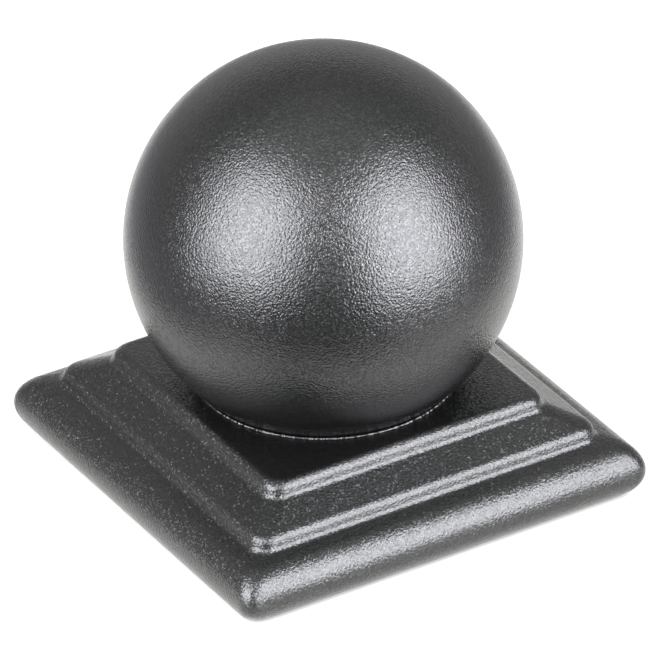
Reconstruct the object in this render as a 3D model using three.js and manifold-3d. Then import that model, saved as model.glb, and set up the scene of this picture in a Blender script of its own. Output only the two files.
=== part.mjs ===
// Ball post cap: a stepped square cap that drops over a square post, with a ball seated on top.
// Millimetres, +Z up. The origin is at the centre of the underside, in the plane of the rim's foot.
import * as THREE from 'three';
import { mergeVertices } from 'three/addons/utils/BufferGeometryUtils.js';
import Module from 'manifold-3d';

// Post and rim
const postSide = 100;
const postClearance = 1;
const rimWall = 8.2;
const rimRadius = 7.6;
const rimFootWidth = 2.1;
const rimCornerRadius = 4;

// Steps above the rim: sloping treads between short risers that lean in by the mould's draft
const lowerSlopeAngle = 16;
const upperSlopeAngle = 26.3;
const draftAngle = 12;
const lowerTread = 3.4;
const upperTread = 8.8;
const lowerRise = 3.1;
const upperRise = 3.75;
const lipRadius = 2.55;
const footFillet = 1.6;
const stepCornerRadius = 4.7;

// Ball and the low round seat that it stands on
const ballDiameter = 100;
const seatMargin = 8.15;
const seatHeight = 0.5;
const seatLedge = 0.6;

// Hollow underside
const wall = 3.5;
const postLedge = 5.5;
const hollowCornerRadius = 2.5;

// Fineness of the round shapes
const cornerSteps = 5;
const rimSteps = 6;
const filletSteps = 4;
const ballRows = 40;
const ballSectors = 72;

const wasm = await Module();
wasm.setup();

const lowerSlope = THREE.MathUtils.degToRad(lowerSlopeAngle);
const upperSlope = THREE.MathUtils.degToRad(upperSlopeAngle);
const draft = THREE.MathUtils.degToRad(draftAngle);
const quarterTurn = Math.PI / 2;

// Each level of the base is a square, given by its half side and its height above the underside
const pocketHalf = postSide / 2 + postClearance;
const baseHalf = pocketHalf + rimWall;
const rimUndercut = Math.acos(Math.max(0, 1 - (rimWall - rimFootWidth) / rimRadius));
const rimCentreHalf = baseHalf - rimRadius;
const rimCentreHeight = rimRadius * Math.sin(rimUndercut);

const lowerHalf = rimCentreHalf + rimRadius * Math.sin(lowerSlope) - lowerTread;
const lowerFoot = rimCentreHeight + rimRadius * Math.cos(lowerSlope) + lowerTread * Math.tan(lowerSlope);
const lowerTopHalf = lowerHalf - lowerRise * Math.tan(draft);
const lowerTop = lowerFoot + lowerRise;
const upperHalf = lowerTopHalf - upperTread;
const upperFoot = lowerTop + upperTread * Math.tan(upperSlope);
const plateHeight = upperFoot + upperRise;

const middleHalf = pocketHalf - postLedge;
const topHalf = upperHalf - wall;
const pocketCeiling = lowerFoot - wall;
const middleCeiling = lowerTop + (lowerTopHalf - middleHalf) * Math.tan(upperSlope)
  - wall / Math.cos(upperSlope);
const topCeiling = plateHeight - wall;

const seatTop = plateHeight + seatHeight;
const seatRadius = upperHalf - seatMargin;
const ballRadius = ballDiameter / 2;
const ballCentreHeight = seatTop + Math.sqrt(ballRadius ** 2 - seatRadius ** 2);

/** Levels along an arc of the section, between two angles measured up from straight outward. */
function arcLevels(centreHalf, centreHeight, radius, from, to, steps, corner) {
  const levels = [];
  for (let i = 0; i <= steps; i++) {
    const angle = from + (to - from) * i / steps;
    levels.push({
      half: centreHalf + radius * Math.cos(angle),
      height: centreHeight + radius * Math.sin(angle),
      corner,
    });
  }
  return levels;
}

/** Levels of one riser: the hollow fillet at its foot, then the rounded lip up to the tread above it. */
function riserLevels(half, foot, rise, slopeBelow, slopeAbove) {
  const faceLength = rise / Math.cos(draft);
  const footTangent = Math.tan((quarterTurn - slopeBelow - draft) / 2);
  const lipTangent = Math.tan((quarterTurn - slopeAbove - draft) / 2);
  // Both roundings shrink together where the riser is too short for them
  const room = Math.min(1, faceLength / (footFillet * footTangent + lipRadius * lipTangent));
  const fillet = footFillet * room;
  const lip = lipRadius * room;
  const filletEnd = fillet * footTangent;
  const lipStart = faceLength - lip * lipTangent;
  return [
    ...arcLevels(
      half - filletEnd * Math.sin(draft) + fillet * Math.cos(draft),
      foot + filletEnd * Math.cos(draft) + fillet * Math.sin(draft),
      fillet, -quarterTurn - slopeBelow, draft - Math.PI, filletSteps, stepCornerRadius,
    ),
    ...arcLevels(
      half - lipStart * Math.sin(draft) - lip * Math.cos(draft),
      foot + lipStart * Math.cos(draft) - lip * Math.sin(draft),
      lip, draft, quarterTurn - slopeAbove, filletSteps, stepCornerRadius,
    ),
  ];
}

/** The base's section, from the middle of the ceiling inside, round the rim, to the middle of the plate. */
function baseLevels() {
  const hollow = [
    [topHalf, topCeiling],
    [topHalf, middleCeiling],
    [middleHalf, middleCeiling],
    [middleHalf, pocketCeiling],
    [pocketHalf, pocketCeiling],
    [pocketHalf, 0],
  ];
  return [
    ...hollow.map(([half, height]) => ({ half, height, corner: hollowCornerRadius })),
    ...arcLevels(rimCentreHalf, rimCentreHeight, rimRadius, -rimUndercut, 0, rimSteps, rimCornerRadius),
    ...arcLevels(rimCentreHalf, rimCentreHeight, rimRadius, 0, quarterTurn - lowerSlope,
      rimSteps, rimCornerRadius),
    ...riserLevels(lowerHalf, lowerFoot, lowerRise, lowerSlope, upperSlope),
    ...riserLevels(upperHalf, upperFoot, upperRise, upperSlope, 0),
  ];
}

/** Points of one level, counted anticlockwise from above: a square with rounded corners. */
function levelPoints({ half, height, corner }) {
  const points = [];
  for (let quarter = 0; quarter < 4; quarter++) {
    for (let i = 0; i <= cornerSteps; i++) {
      const turn = quarterTurn * i / cornerSteps;
      const point = new THREE.Vector3(
        half - corner + corner * Math.cos(turn),
        half - corner + corner * Math.sin(turn),
        height,
      );
      points.push(point.applyAxisAngle(new THREE.Vector3(0, 0, 1), quarter * quarterTurn));
    }
  }
  return points;
}

/** A closed body of square levels, ending in a flat face at the first level and at the last one. */
function squareLathe(levels) {
  const rings = levels.map(levelPoints);
  const count = rings[0].length;
  const points = rings.flat();
  const firstCentre = points.length;
  const lastCentre = firstCentre + 1;
  points.push(new THREE.Vector3(0, 0, levels[0].height));
  points.push(new THREE.Vector3(0, 0, levels.at(-1).height));

  const index = [];
  for (let i = 0; i < count; i++) {
    const next = (i + 1) % count;
    for (let ring = 0; ring + 1 < rings.length; ring++) {
      const below = ring * count;
      const above = below + count;
      index.push(below + i, below + next, above + next);
      index.push(below + i, above + next, above + i);
    }
    const last = (rings.length - 1) * count;
    index.push(firstCentre, next, i);
    index.push(lastCentre, last + i, last + next);
  }
  const geometry = new THREE.BufferGeometry().setFromPoints(points);
  geometry.setIndex(index);
  return geometry;
}

/** A body turned about the upright axis from a section of [radius, height] points. */
function turned(section) {
  const points = section.map(([radius, height]) => new THREE.Vector2(radius, height));
  return new THREE.LatheGeometry(points, ballSectors).rotateX(quarterTurn);
}

/** The solid inside a closed geometry. */
function solidOf(geometry) {
  const bare = geometry.clone();
  bare.deleteAttribute('normal');
  bare.deleteAttribute('uv');
  const merged = mergeVertices(bare, 1e-4);
  const corners = merged.index.array;
  const triVerts = [];
  for (let i = 0; i < corners.length; i += 3) {
    const triangle = [corners[i], corners[i + 1], corners[i + 2]];
    if (new Set(triangle).size === 3) {
      triVerts.push(...triangle);
    }
  }
  return new wasm.Manifold(new wasm.Mesh({
    numProp: 3,
    vertProperties: new Float32Array(merged.attributes.position.array),
    triVerts: new Uint32Array(triVerts),
  }));
}

/** A named mesh of a solid, in the cap's dark metallic coat. */
function coatedMesh(name, solid) {
  const { vertProperties, triVerts } = solid.getMesh();
  const geometry = new THREE.BufferGeometry();
  geometry.setAttribute('position', new THREE.BufferAttribute(new Float32Array(vertProperties), 3));
  geometry.setIndex(new THREE.BufferAttribute(new Uint32Array(triVerts), 1));
  geometry.computeVertexNormals();
  const coat = new THREE.MeshStandardMaterial({ color: 0x3c3d3e, roughness: 0.45, metalness: 0.6 });
  const mesh = new THREE.Mesh(geometry, coat);
  mesh.name = name;
  return mesh;
}

/** The stepped casting: rim, two risers, flat plate and hollow underside, with the ball's round seat. */
function steppedBase() {
  const seat = turned([
    [0, topCeiling],
    [seatRadius + seatLedge, topCeiling],
    [seatRadius + seatLedge, seatTop],
    [0, seatTop],
  ]);
  return solidOf(squareLathe(baseLevels())).add(solidOf(seat));
}

/** The ball, cut flat where it stands on its seat. */
function ball() {
  const section = [[0, seatTop]];
  const lowest = Math.asin((seatTop - ballCentreHeight) / ballRadius);
  for (let row = 0; row < ballRows; row++) {
    const angle = lowest + (quarterTurn - lowest) * row / ballRows;
    section.push([ballRadius * Math.cos(angle), ballCentreHeight + ballRadius * Math.sin(angle)]);
  }
  section.push([0, ballCentreHeight + ballRadius]);
  return solidOf(turned(section));
}

const cap = new THREE.Group();
cap.add(coatedMesh('stepped_base', steppedBase()));
cap.add(coatedMesh('ball', ball()));

export default cap;
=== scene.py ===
import logging
import math
import random
from dataclasses import dataclass
from enum import Enum

import bpy
from mathutils import Matrix, Vector


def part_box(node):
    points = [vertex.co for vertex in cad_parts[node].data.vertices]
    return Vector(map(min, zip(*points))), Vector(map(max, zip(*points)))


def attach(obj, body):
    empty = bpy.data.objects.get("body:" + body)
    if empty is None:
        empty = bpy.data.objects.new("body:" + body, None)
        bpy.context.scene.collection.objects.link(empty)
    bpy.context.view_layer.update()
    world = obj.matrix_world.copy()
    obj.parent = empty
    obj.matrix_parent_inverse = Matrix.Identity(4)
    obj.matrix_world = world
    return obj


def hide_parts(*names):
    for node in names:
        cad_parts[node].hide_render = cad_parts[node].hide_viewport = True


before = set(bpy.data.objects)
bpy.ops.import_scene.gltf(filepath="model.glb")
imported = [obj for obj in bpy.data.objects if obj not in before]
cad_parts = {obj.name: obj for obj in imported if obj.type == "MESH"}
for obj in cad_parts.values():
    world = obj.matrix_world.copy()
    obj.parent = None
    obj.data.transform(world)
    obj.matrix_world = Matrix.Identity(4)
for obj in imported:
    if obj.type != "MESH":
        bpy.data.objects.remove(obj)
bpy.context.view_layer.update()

log = logging.getLogger("post_cap")

MM = 0.001
QUARTER_TURN = math.pi / 2
SHARP_ANGLE = math.radians(38)
# Two levels of a section that lie closer than this, in millimetres, are one
SAME_PLACE = 1e-6
# A stretch of the section counts as long from this many support margins on
LONG_STRETCH = 4


class Side(Enum):
    """The side of the camera that a softbox stands on, as its place in a pair of lamp values."""

    LEFT = 0
    RIGHT = 1


def srgb(hex_value: int) -> tuple[float, float, float, float]:
    """Turns an sRGB hex colour into Blender's linear one.

    Args:
        hex_value: The colour as 0xRRGGBB.

    Returns:
        Linear red, green and blue, and an alpha of 1.
    """
    linear = []
    for shift in (16, 8, 0):
        value = (hex_value >> shift & 255) / 255
        linear.append(value / 12.92 if value <= 0.04045 else ((value + 0.055) / 1.055) ** 2.4)
    return (*linear, 1.0)


def add_node(tree: bpy.types.NodeTree, kind: str, inputs: dict | None = None,
             **settings: object) -> bpy.types.Node:
    """Adds one node with its settings, its values and its links.

    Args:
        tree: The node tree that the node goes into.
        kind: Blender's name for the kind of node.
        inputs: Values or sockets by the input's name or number; a socket is linked.
        settings: Properties of the node itself.

    Returns:
        The new node.
    """
    node = tree.nodes.new(kind)
    for name, value in settings.items():
        setattr(node, name, value)
    for name, value in (inputs or {}).items():
        if isinstance(value, bpy.types.NodeSocket):
            tree.links.new(value, node.inputs[name])
        else:
            node.inputs[name].default_value = value
    return node


def per_metre(spacing_mm: float) -> float:
    """Turns the spacing of a pattern into the scale of a texture.

    Args:
        spacing_mm: The pattern's spacing in millimetres.

    Returns:
        Repeats in one metre.
    """
    return 1 / (spacing_mm * MM)


@dataclass(frozen=True)
class PowderCoat:
    """Polyester powder coat with metal flake, sprayed on cast aluminium and baked.

    The baked powder keeps a fine grain that breaks a lamp's reflection into small sparks inside a
    broad soft patch. The flake makes it reflect like dark metal, and the coat is darkest where it
    looks away from the lamps. There, flakes that lie tilted in the clear top of the coat still catch
    some light, which is the haze. Lengths are in millimetres. A real flake is about 0.05 across, too
    fine to show, so it is drawn as coarse as it needs to be seen at all.
    """

    name: str = "metallic_powder_coat"
    tone: int = 0x343434
    fleck_tone: int = 0x474747
    grain_spacing: float = 0.58
    grain_height: float = 0.18
    grain_detail: float = 1.0
    grain_mix: float = 0.5
    fleck_spacing: float = 0.35
    fleck_start: float = 0.55
    ripple_spacing: float = 5.0
    ripple_height: float = 0.02
    ripple_mix: float = 0.4
    metallic: float = 0.94
    roughness_low: float = 0.19
    roughness_high: float = 0.25
    specular_level: float = 0.5
    haze: float = 0.12
    flake_tilt: float = 0.7
    flake_roughness: float = 0.25

    def material(self) -> bpy.types.Material:
        """Makes the coat's material.

        Returns:
            The material, in object coordinates, so that its grain has the same size on every piece.
        """
        coat = bpy.data.materials.new(self.name)
        coat.use_nodes = True
        tree = coat.node_tree
        tree.nodes.clear()
        place = add_node(tree, "ShaderNodeTexCoord").outputs["Object"]

        grain = add_node(tree, "ShaderNodeTexNoise", {
            "Vector": place, "Scale": per_metre(self.grain_spacing),
            "Detail": self.grain_detail, "Roughness": self.grain_mix,
        })
        ripple = add_node(tree, "ShaderNodeTexNoise", {
            "Vector": place, "Scale": per_metre(self.ripple_spacing),
            "Detail": self.grain_detail, "Roughness": self.ripple_mix,
        })
        fleck = add_node(tree, "ShaderNodeTexVoronoi", {
            "Vector": place, "Scale": per_metre(self.fleck_spacing), "Randomness": 1.0,
        })

        broad = add_node(tree, "ShaderNodeBump", {
            "Height": ripple.outputs["Fac"], "Strength": 1.0, "Distance": self.ripple_height * MM,
        })
        fine = add_node(tree, "ShaderNodeBump", {
            "Height": grain.outputs["Fac"], "Strength": 1.0, "Distance": self.grain_height * MM,
            "Normal": broad.outputs["Normal"],
        })
        shade = add_node(tree, "ShaderNodeSeparateColor", {"Color": fleck.outputs["Color"]})
        tint = add_node(tree, "ShaderNodeValToRGB", {"Fac": shade.outputs["Red"]})
        tint.color_ramp.elements[0].position = self.fleck_start
        tint.color_ramp.elements[0].color = srgb(self.tone)
        tint.color_ramp.elements[1].color = srgb(self.fleck_tone)
        gloss = add_node(tree, "ShaderNodeMapRange", {
            "Value": shade.outputs["Green"],
            "To Min": self.roughness_low,
            "To Max": self.roughness_high,
        })

        # A flake's colour is random, so it also gives the flake its own tilt to either side
        tilt = add_node(tree, "ShaderNodeVectorMath", {
            0: fleck.outputs["Color"], 1: (self.flake_tilt,) * 3, 2: (-self.flake_tilt / 2,) * 3,
        }, operation="MULTIPLY_ADD")
        flake = add_node(tree, "ShaderNodeVectorMath", {
            0: broad.outputs["Normal"], 1: tilt.outputs["Vector"],
        }, operation="ADD")
        facet = add_node(tree, "ShaderNodeVectorMath", {
            0: flake.outputs["Vector"],
        }, operation="NORMALIZE")

        shader = add_node(tree, "ShaderNodeBsdfPrincipled", {
            "Base Color": tint.outputs["Color"],
            "Metallic": self.metallic,
            "Roughness": gloss.outputs["Result"],
            "Specular IOR Level": self.specular_level,
            "Normal": fine.outputs["Normal"],
            "Coat Weight": self.haze,
            "Coat Roughness": self.flake_roughness,
            "Coat Normal": facet.outputs["Vector"],
        })
        add_node(tree, "ShaderNodeOutputMaterial", {"Surface": shader.outputs["BSDF"]})
        return coat


@dataclass(frozen=True)
class StageFinish:
    """A matt finish of the stage: uncoated white paper, or the grey painted table that it lies on.

    Both scatter light evenly and have almost no shine.
    """

    name: str
    tone: int
    roughness: float = 0.9
    specular_level: float = 0.1

    def material(self) -> bpy.types.Material:
        """Makes the finish's material.

        Returns:
            The material.
        """
        matt = bpy.data.materials.new(self.name)
        matt.use_nodes = True
        tree = matt.node_tree
        tree.nodes.clear()
        shader = add_node(tree, "ShaderNodeBsdfPrincipled", {
            "Base Color": srgb(self.tone),
            "Roughness": self.roughness,
            "Specular IOR Level": self.specular_level,
        })
        add_node(tree, "ShaderNodeOutputMaterial", {"Surface": shader.outputs["BSDF"]})
        return matt


def mesh_object(name: str, points: list[Vector], faces: list[tuple[int, ...]]) -> bpy.types.Object:
    """Makes a smooth object from points in millimetres, with its sharp edges kept sharp.

    Args:
        name: The piece's name.
        points: Its points, in millimetres.
        faces: Point numbers of each face, anticlockwise seen from outside.

    Returns:
        The object, at the origin, with its place in its mesh.
    """
    mesh = bpy.data.meshes.new(name)
    mesh.from_pydata([point * MM for point in points], [], faces)
    mesh.validate()
    mesh.shade_smooth()
    mesh.set_sharp_from_angle(angle=SHARP_ANGLE)
    piece = bpy.data.objects.new(name, mesh)
    bpy.context.scene.collection.objects.link(piece)
    return piece


def lofted_faces(rings: int, count: int) -> list[tuple[int, ...]]:
    """Faces that join rings of points in turn, each ring anticlockwise seen from above.

    Args:
        rings: How many rings there are.
        count: How many points each ring has.

    Returns:
        The four-sided faces between each ring and the next.
    """
    faces = []
    for ring in range(rings - 1):
        for i in range(count):
            following = (i + 1) % count
            below, above = ring * count, (ring + 1) * count
            faces.append((below + i, below + following, above + following, above + i))
    return faces


def lid_faces(ring: int, count: int, centre: int, upward: bool) -> list[tuple[int, ...]]:
    """Triangles from one ring of points to a point at its centre.

    Args:
        ring: The ring's number.
        count: How many points a ring has.
        centre: The centre point's number.
        upward: True where the lid faces up.

    Returns:
        The triangles.
    """
    faces = []
    for i in range(count):
        here, following = ring * count + i, ring * count + (i + 1) % count
        faces.append((centre, here, following) if upward else (centre, following, here))
    return faces


@dataclass(frozen=True)
class Level:
    """One square ring of the base, in millimetres: half its side, its height and its corner radius."""

    half: float
    height: float
    corner: float


def arc_levels(half: float, height: float, radius: float, start: float, end: float,
               steps: int, corner: float) -> list[Level]:
    """Levels along an arc of the base's section.

    Args:
        half: Half side at the arc's centre.
        height: Height of the arc's centre.
        radius: Radius of the arc.
        start: First angle, up from straight outward, in radians.
        end: Last angle.
        steps: How many stretches the arc has.
        corner: Radius of the rings' corners.

    Returns:
        The levels, from the first angle to the last.
    """
    levels = []
    for i in range(steps + 1):
        angle = start + (end - start) * i / steps
        levels.append(Level(half + radius * math.cos(angle), height + radius * math.sin(angle), corner))
    return levels


def with_supports(levels: list[Level], margin: float) -> list[Level]:
    """Adds a level just inside each end of every long flat stretch, which keeps its shading flat.

    Args:
        levels: The levels of the section.
        margin: How far from the end of a stretch the added level lies.

    Returns:
        The levels with the added ones.
    """
    supported = [levels[0]]
    for low, high in zip(levels, levels[1:]):
        length = math.hypot(high.half - low.half, high.height - low.height)
        if length > LONG_STRETCH * margin:
            for share in (margin / length, 1 - margin / length):
                supported.append(Level(
                    low.half + (high.half - low.half) * share,
                    low.height + (high.height - low.height) * share,
                    low.corner + (high.corner - low.corner) * share,
                ))
        supported.append(high)
    return supported


@dataclass
class SteppedBase:
    """The square casting: rim, two sloping treads, two short risers, flat plate and hollow underside.

    The sizes are those of its solid, and the roundings have more steps. Lengths are in millimetres
    and angles in degrees.
    """

    half: float
    seat_top: float
    coat: bpy.types.Material
    pocket_half: float = 51.0
    rim_foot_width: float = 2.1
    rim_radius: float = 7.6
    rim_corner: float = 4.0
    lower_slope: float = 16.0
    upper_slope: float = 26.3
    draft: float = 12.0
    lower_tread: float = 3.4
    upper_tread: float = 8.8
    lower_rise: float = 3.1
    lip_radius: float = 2.55
    foot_fillet: float = 1.6
    step_corner: float = 4.7
    seat_radius: float = 33.286
    seat_height: float = 0.5
    wall: float = 3.5
    post_ledge: float = 5.5
    hollow_corner: float = 2.5
    rim_steps: int = 40
    fillet_steps: int = 12
    corner_steps: int = 14
    side_steps: int = 24
    support_margin: float = 0.12

    def __post_init__(self) -> None:
        """Works out the places that follow from the driving sizes."""
        self.lower_angle = math.radians(self.lower_slope)
        self.upper_angle = math.radians(self.upper_slope)
        self.lean = math.radians(self.draft)
        foot_share = (self.half - self.pocket_half - self.rim_foot_width) / self.rim_radius
        self.undercut = math.acos(max(0.0, 1 - foot_share))
        self.rim_centre_half = self.half - self.rim_radius
        self.rim_centre = self.rim_radius * math.sin(self.undercut)
        self.lower_half = (self.rim_centre_half + self.rim_radius * math.sin(self.lower_angle)
                           - self.lower_tread)
        self.lower_foot = (self.rim_centre + self.rim_radius * math.cos(self.lower_angle)
                           + self.lower_tread * math.tan(self.lower_angle))
        self.lower_top_half = self.lower_half - self.lower_rise * math.tan(self.lean)
        self.lower_top = self.lower_foot + self.lower_rise
        self.upper_half = self.lower_top_half - self.upper_tread
        self.upper_foot = self.lower_top + self.upper_tread * math.tan(self.upper_angle)
        self.plate = self.seat_top - self.seat_height

    def riser(self, half: float, foot: float, top: float, below: float, above: float) -> list[Level]:
        """Levels of one riser, from the hollow fillet at its foot to the rounded lip at its top.

        Args:
            half: Half side of the riser's foot.
            foot: Height where the tread below meets the riser's face.
            top: Height where the riser's face meets the tread above.
            below: Slope of the tread below, in radians.
            above: Slope of the tread above, in radians.

        Returns:
            The levels, from the foot upward.
        """
        face_length = (top - foot) / math.cos(self.lean)
        foot_tangent = math.tan((QUARTER_TURN - below - self.lean) / 2)
        lip_tangent = math.tan((QUARTER_TURN - above - self.lean) / 2)
        room = min(1.0, face_length / (self.foot_fillet * foot_tangent + self.lip_radius * lip_tangent))
        fillet, lip = self.foot_fillet * room, self.lip_radius * room
        fillet_end, lip_start = fillet * foot_tangent, face_length - lip * lip_tangent
        inward, upward = math.sin(self.lean), math.cos(self.lean)
        return [
            *arc_levels(
                half - fillet_end * inward + fillet * upward,
                foot + fillet_end * upward + fillet * inward,
                fillet, -QUARTER_TURN - below, self.lean - math.pi, self.fillet_steps, self.step_corner,
            ),
            *arc_levels(
                half - lip_start * inward - lip * upward,
                foot + lip_start * upward - lip * inward,
                lip, self.lean, QUARTER_TURN - above, self.fillet_steps, self.step_corner,
            ),
        ]

    def section(self) -> list[Level]:
        """Works out the section, from the ceiling inside, round the rim, to the edge of the plate.

        Returns:
            The levels, in that order.
        """
        middle_half = self.pocket_half - self.post_ledge
        top_half = self.upper_half - self.wall
        pocket_ceiling = self.lower_foot - self.wall
        tread_rise = (self.lower_top_half - middle_half) * math.tan(self.upper_angle)
        middle_ceiling = self.lower_top + tread_rise - self.wall / math.cos(self.upper_angle)
        top_ceiling = self.plate - self.wall
        hollow = [
            (top_half, top_ceiling),
            (top_half, middle_ceiling),
            (middle_half, middle_ceiling),
            (middle_half, pocket_ceiling),
            (self.pocket_half, pocket_ceiling),
            (self.pocket_half, 0.0),
        ]
        return [
            *(Level(half, height, self.hollow_corner) for half, height in hollow),
            *arc_levels(self.rim_centre_half, self.rim_centre, self.rim_radius, -self.undercut,
                        QUARTER_TURN - self.lower_angle, self.rim_steps, self.rim_corner),
            *self.riser(
                self.lower_half, self.lower_foot, self.lower_top, self.lower_angle, self.upper_angle,
            ),
            *self.riser(self.upper_half, self.upper_foot, self.plate, self.upper_angle, 0.0),
        ]

    def square_ring(self, level: Level) -> list[Vector]:
        """Spaces points round one level: rounded corners with even steps between them.

        Args:
            level: The level.

        Returns:
            Its points, anticlockwise seen from above.
        """
        points = []
        straight = level.half - level.corner
        for quarter in range(4):
            turn = Matrix.Rotation(quarter * QUARTER_TURN, 3, "Z")
            for i in range(self.corner_steps + 1):
                angle = QUARTER_TURN * i / self.corner_steps
                x = straight + level.corner * math.cos(angle)
                y = straight + level.corner * math.sin(angle)
                points.append(turn @ Vector((x, y, level.height)))
            for i in range(1, self.side_steps):
                along = straight * (1 - 2 * i / self.side_steps)
                points.append(turn @ Vector((along, level.half, level.height)))
        return points

    def build(self) -> bpy.types.Object:
        """Makes the casting as one closed mesh.

        Returns:
            The casting, in its coat, in place of its solid.
        """
        levels = self.section()
        distinct = [levels[0]]
        for level in levels[1:]:
            last = distinct[-1]
            if math.hypot(level.half - last.half, level.height - last.height) > SAME_PLACE:
                distinct.append(level)
        rings = [self.square_ring(level) for level in with_supports(distinct, self.support_margin)]
        count = len(rings[0])
        directions = [Vector((point.x, point.y, 0)).normalized() for point in rings[-1]]
        for radius, height in ((self.seat_radius, self.plate), (self.seat_radius, self.seat_top)):
            rings.append([direction * radius + Vector((0, 0, height)) for direction in directions])
        points = [point for ring in rings for point in ring]
        first, last = len(points), len(points) + 1
        points.append(Vector((0, 0, rings[0][0].z)))
        points.append(Vector((0, 0, self.seat_top)))
        faces = lofted_faces(len(rings), count)
        faces += lid_faces(0, count, first, upward=False)
        faces += lid_faces(len(rings) - 1, count, last, upward=True)
        piece = mesh_object("cast_base", points, faces)
        piece.data.materials.append(self.coat)
        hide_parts("stepped_base")
        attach(piece, "root")
        log.info("stepped base: %d faces, plate %.2f mm up", len(faces), self.plate)
        return piece


@dataclass
class Ball:
    """The ball, cut flat where it stands on its seat. Lengths are in millimetres."""

    top: float
    seat_top: float
    coat: bpy.types.Material
    radius: float = 50.0
    rows: int = 130
    sectors: int = 240

    def build(self) -> bpy.types.Object:
        """Makes the ball as one closed mesh.

        Returns:
            The ball, in its coat, in place of its solid.
        """
        centre = self.top - self.radius
        lowest = math.asin((self.seat_top - centre) / self.radius)
        points = []
        for row in range(self.rows):
            angle = lowest + (QUARTER_TURN - lowest) * row / self.rows
            ring, height = self.radius * math.cos(angle), centre + self.radius * math.sin(angle)
            for sector in range(self.sectors):
                turn = 2 * math.pi * sector / self.sectors
                points.append(Vector((ring * math.cos(turn), ring * math.sin(turn), height)))
        foot, crown = len(points), len(points) + 1
        points.append(Vector((0, 0, self.seat_top)))
        points.append(Vector((0, 0, self.top)))
        faces = lofted_faces(self.rows, self.sectors)
        faces += lid_faces(0, self.sectors, foot, upward=False)
        faces += lid_faces(self.rows - 1, self.sectors, crown, upward=True)
        piece = mesh_object("coated_ball", points, faces)
        piece.data.materials.append(self.coat)
        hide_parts("ball")
        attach(piece, "root")
        log.info("ball: %d faces, %.1f mm across", len(faces), 2 * self.radius)
        return piece


@dataclass
class SeatBead:
    """The thin uneven bead of coat that gathered in the corner between the ball and its seat.

    Lengths are in millimetres.
    """

    plate: float
    coat: bpy.types.Material
    radius: float = 33.3
    lift: float = 0.25
    thickness: float = 0.42
    unevenness: float = 0.16
    wave_count: int = 28
    fewest_swells: int = 5
    most_swells: int = 150
    sectors: int = 900
    steps: int = 14
    seed: int = 7

    def swelling(self) -> list[float]:
        """Works out how the bead swells and thins on its way round, from seeded random waves.

        Returns:
            The swelling at each sector, as a share of the unevenness.
        """
        dice = random.Random(self.seed)
        waves = [
            (dice.randint(self.fewest_swells, self.most_swells), dice.uniform(0, 2 * math.pi))
            for _ in range(self.wave_count)
        ]
        run = []
        for sector in range(self.sectors):
            turn = 2 * math.pi * sector / self.sectors
            height = sum(math.sin(count * turn + phase) for count, phase in waves)
            run.append(height / math.sqrt(len(waves)))
        return run

    def build(self) -> bpy.types.Object:
        """Makes the bead as a closed ring that sits half in the corner.

        Returns:
            The bead, in the same coat, riding with the casting.
        """
        points = []
        for sector, swell in enumerate(self.swelling()):
            turn = 2 * math.pi * sector / self.sectors
            outward = Vector((math.cos(turn), math.sin(turn), 0))
            thick = self.thickness + self.unevenness * swell
            for i in range(self.steps):
                angle = 2 * math.pi * i / self.steps
                reach = self.radius + thick * math.cos(angle)
                height = self.plate + self.lift + thick * math.sin(angle)
                points.append(outward * reach + Vector((0, 0, height)))
        faces = []
        for sector in range(self.sectors):
            here, following = sector * self.steps, (sector + 1) % self.sectors * self.steps
            for i in range(self.steps):
                after = (i + 1) % self.steps
                faces.append((here + i, following + i, following + after, here + after))
        piece = mesh_object("seat_bead", points, faces)
        piece.data.materials.append(self.coat)
        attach(piece, "root")
        log.info("seat bead: %d faces", len(faces))
        return piece


@dataclass(frozen=True)
class PhotoCamera:
    """The camera: a long lens above the near corner, turned slightly about its own axis.

    Angles are in degrees and lengths in millimetres.
    """

    azimuth: float = -30.74
    elevation: float = 31.33
    roll: float = -1.24
    distance: float = 2279.1
    aim_right: float = 0.45
    aim_up: float = 33.89
    aim_height: float = -1.1
    picture_width: int = 660
    focal_pixels: float = 9000.0
    sensor_width: float = 36.0
    clip_near: float = 100.0
    clip_far: float = 20000.0

    def axes(self) -> tuple[Vector, Vector, Vector]:
        """Works out how the camera stands.

        Returns:
            The picture's right, its up, and the direction back from the object to the camera.
        """
        turn, lift = math.radians(self.azimuth), math.radians(self.elevation)
        forward = Vector((
            -math.sin(turn) * math.cos(lift), math.cos(turn) * math.cos(lift), -math.sin(lift),
        ))
        level = Vector((math.cos(turn), math.sin(turn), 0))
        tilt = Matrix.Rotation(math.radians(self.roll), 3, -forward)
        right = tilt @ level
        return right, tilt @ level.cross(forward), -forward

    def place(self) -> bpy.types.Object:
        """Makes the scene's camera and sets it in place.

        Returns:
            The camera.
        """
        right, up, back = self.axes()
        data = bpy.data.cameras.new("photo_camera")
        data.sensor_width = self.sensor_width
        data.lens = self.sensor_width * self.focal_pixels / self.picture_width
        data.clip_start, data.clip_end = self.clip_near * MM, self.clip_far * MM
        camera = bpy.data.objects.new("photo_camera", data)
        eye = back * self.distance + right * self.aim_right + up * self.aim_up
        eye += Vector((0, 0, self.aim_height))
        stand = Matrix((right, up, back)).transposed().to_4x4()
        camera.matrix_world = Matrix.Translation(eye * MM) @ stand
        bpy.context.scene.collection.objects.link(camera)
        bpy.context.scene.camera = camera
        return camera


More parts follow.
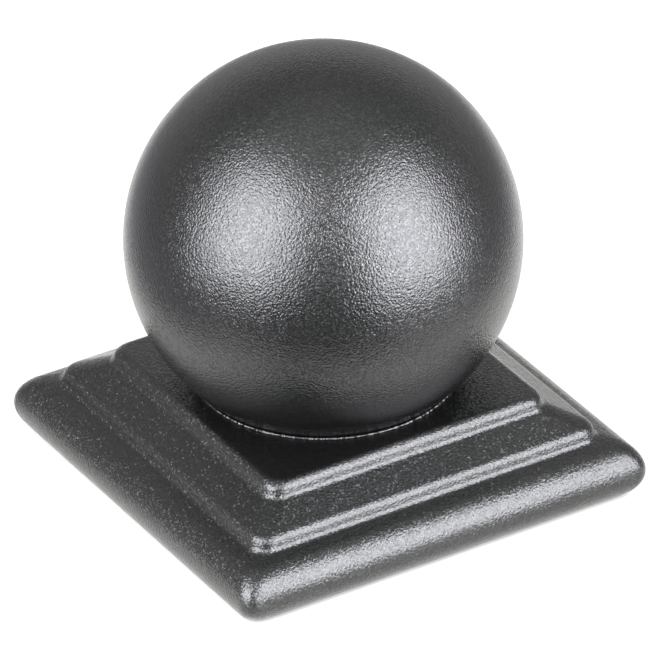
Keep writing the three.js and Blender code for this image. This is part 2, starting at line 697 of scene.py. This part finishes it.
@dataclass
class Studio:
    """Paper floor on a grey table, two softboxes beside the camera, and a room that is pale overhead.

    Lengths are in metres and angles in degrees. A pair of lamp values is for the left softbox and
    the right one. Heights in the room run from -1, straight down, to 1, straight up.
    """

    view: PhotoCamera
    centre: Vector
    paper: tuple[float, float, float, float] = (-0.11, -0.106, 0.14, 0.3)
    paper_tone: int = 0xC3C1BC
    table: tuple[float, float, float, float] = (-3.5, -0.13, 3.5, 3.5)
    table_tone: int = 0x7C7C7C
    table_drop: float = 0.0004
    box_distance: float = 1.1
    box_width: float = 1.1
    box_height: tuple[float, float] = (1.25, 1.34)
    box_glow: tuple[float, float] = (13.6, 14.2)
    box_tone: int = 0xF7F9FF
    box_azimuth: tuple[float, float] = (-48.5, 53.5)
    box_elevation: tuple[float, float] = (27.5, 21.0)
    under_tone: int = 0x707070
    horizon_tone: int = 0xAEAEAE
    middle_tone: int = 0x8A8A8A
    ceiling_tone: int = 0xDEDEDE
    under_height: float = -0.1
    horizon_height: float = 0.0
    middle_height: float = 0.7
    room_strength: float = 2.0

    def softbox(self, side: Side) -> None:
        """Adds one softbox beside the camera, turned towards the ball.

        Args:
            side: The side of the camera that it stands on.
        """
        turn = math.radians(self.view.azimuth + self.box_azimuth[side.value])
        lift = math.radians(self.box_elevation[side.value])
        direction = Vector((
            math.sin(turn) * math.cos(lift), -math.cos(turn) * math.cos(lift), math.sin(lift),
        ))
        data = bpy.data.lights.new(f"softbox_{side.name.lower()}", "AREA")
        data.shape = "RECTANGLE"
        data.size, data.size_y = self.box_width, self.box_height[side.value]
        data.energy = self.box_glow[side.value] * math.pi * data.size * data.size_y
        data.color = srgb(self.box_tone)[:3]
        lamp = bpy.data.objects.new(data.name, data)
        lamp.location = self.centre + direction * self.box_distance
        lamp.rotation_mode = "QUATERNION"
        lamp.rotation_quaternion = direction.to_track_quat("Z", "Y")
        bpy.context.scene.collection.objects.link(lamp)

    def sheet(self, name: str, finish: StageFinish, sides: tuple[float, float, float, float],
              height: float) -> None:
        """Lays one flat sheet of the stage, square to the camera.

        Args:
            name: The sheet's name.
            finish: What it is made of.
            sides: Its left, front, right and back, from below the piece's middle.
            height: Its height.
        """
        left, front, right, back = sides
        turn = Matrix.Rotation(math.radians(self.view.azimuth), 3, "Z")
        corners = [(left, front), (right, front), (right, back), (left, back)]
        mesh = bpy.data.meshes.new(name)
        mesh.from_pydata([turn @ Vector((*corner, height)) for corner in corners], [], [(0, 1, 2, 3)])
        mesh.materials.append(finish.material())
        flat = bpy.data.objects.new(name, mesh)
        bpy.context.scene.collection.objects.link(flat)

    def surroundings(self) -> None:
        """Sets a pale room round the piece, brightest overhead and dim below the paper's front edge."""
        world = bpy.data.worlds.new("studio")
        world.use_nodes = True
        tree = world.node_tree
        tree.nodes.clear()
        direction = add_node(tree, "ShaderNodeTexCoord").outputs["Generated"]
        height = add_node(tree, "ShaderNodeSeparateXYZ", {"Vector": direction}).outputs["Z"]
        raised = add_node(tree, "ShaderNodeMapRange", {"Value": height, "From Min": -1.0})
        tone = add_node(tree, "ShaderNodeValToRGB", {"Fac": raised.outputs["Result"]})
        stops = tone.color_ramp.elements
        for rise in (self.under_height, self.horizon_height, self.middle_height):
            stops.new((1 + rise) / 2)
        tones = (
            self.under_tone, self.under_tone, self.horizon_tone, self.middle_tone, self.ceiling_tone,
        )
        for stop, colour in zip(stops, tones):
            stop.color = srgb(colour)
        glow = add_node(tree, "ShaderNodeBackground", {
            "Color": tone.outputs["Color"], "Strength": self.room_strength,
        })
        add_node(tree, "ShaderNodeOutputWorld", {"Surface": glow.outputs["Background"]})
        bpy.context.scene.world = world

    def build(self) -> None:
        """Sets the whole studio."""
        self.view.place()
        for side in Side:
            self.softbox(side)
        self.sheet("paper", StageFinish("white_paper", self.paper_tone), self.paper, 0.0)
        self.sheet("table", StageFinish("pale_table", self.table_tone), self.table, -self.table_drop)
        self.surroundings()
        bpy.context.scene.view_settings.view_transform = "Standard"
        log.info("studio: floor, %d softboxes and surroundings", len(Side))


def main() -> None:
    """Builds the cap's pieces in order, dresses them and sets the studio round them."""
    logging.basicConfig(level=logging.INFO, format="%(name)s: %(message)s")
    base_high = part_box("stepped_base")[1]
    ball_low, ball_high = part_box("ball")
    coat = PowderCoat().material()
    # The base's coat has more haze, over a darker ground
    hazy_coat = PowderCoat("hazy_powder_coat", tone=0x303030, fleck_tone=0x404040, haze=0.35).material()
    seat_top = ball_low.z / MM
    base = SteppedBase(half=base_high.x / MM, seat_top=seat_top, coat=hazy_coat)
    base.build()
    Ball(top=ball_high.z / MM, seat_top=seat_top, coat=coat).build()
    SeatBead(plate=base.plate, coat=coat).build()
    Studio(view=PhotoCamera(), centre=Vector((0, 0, ball_high.z / 2))).build()


if __name__ == "__main__":
    main()
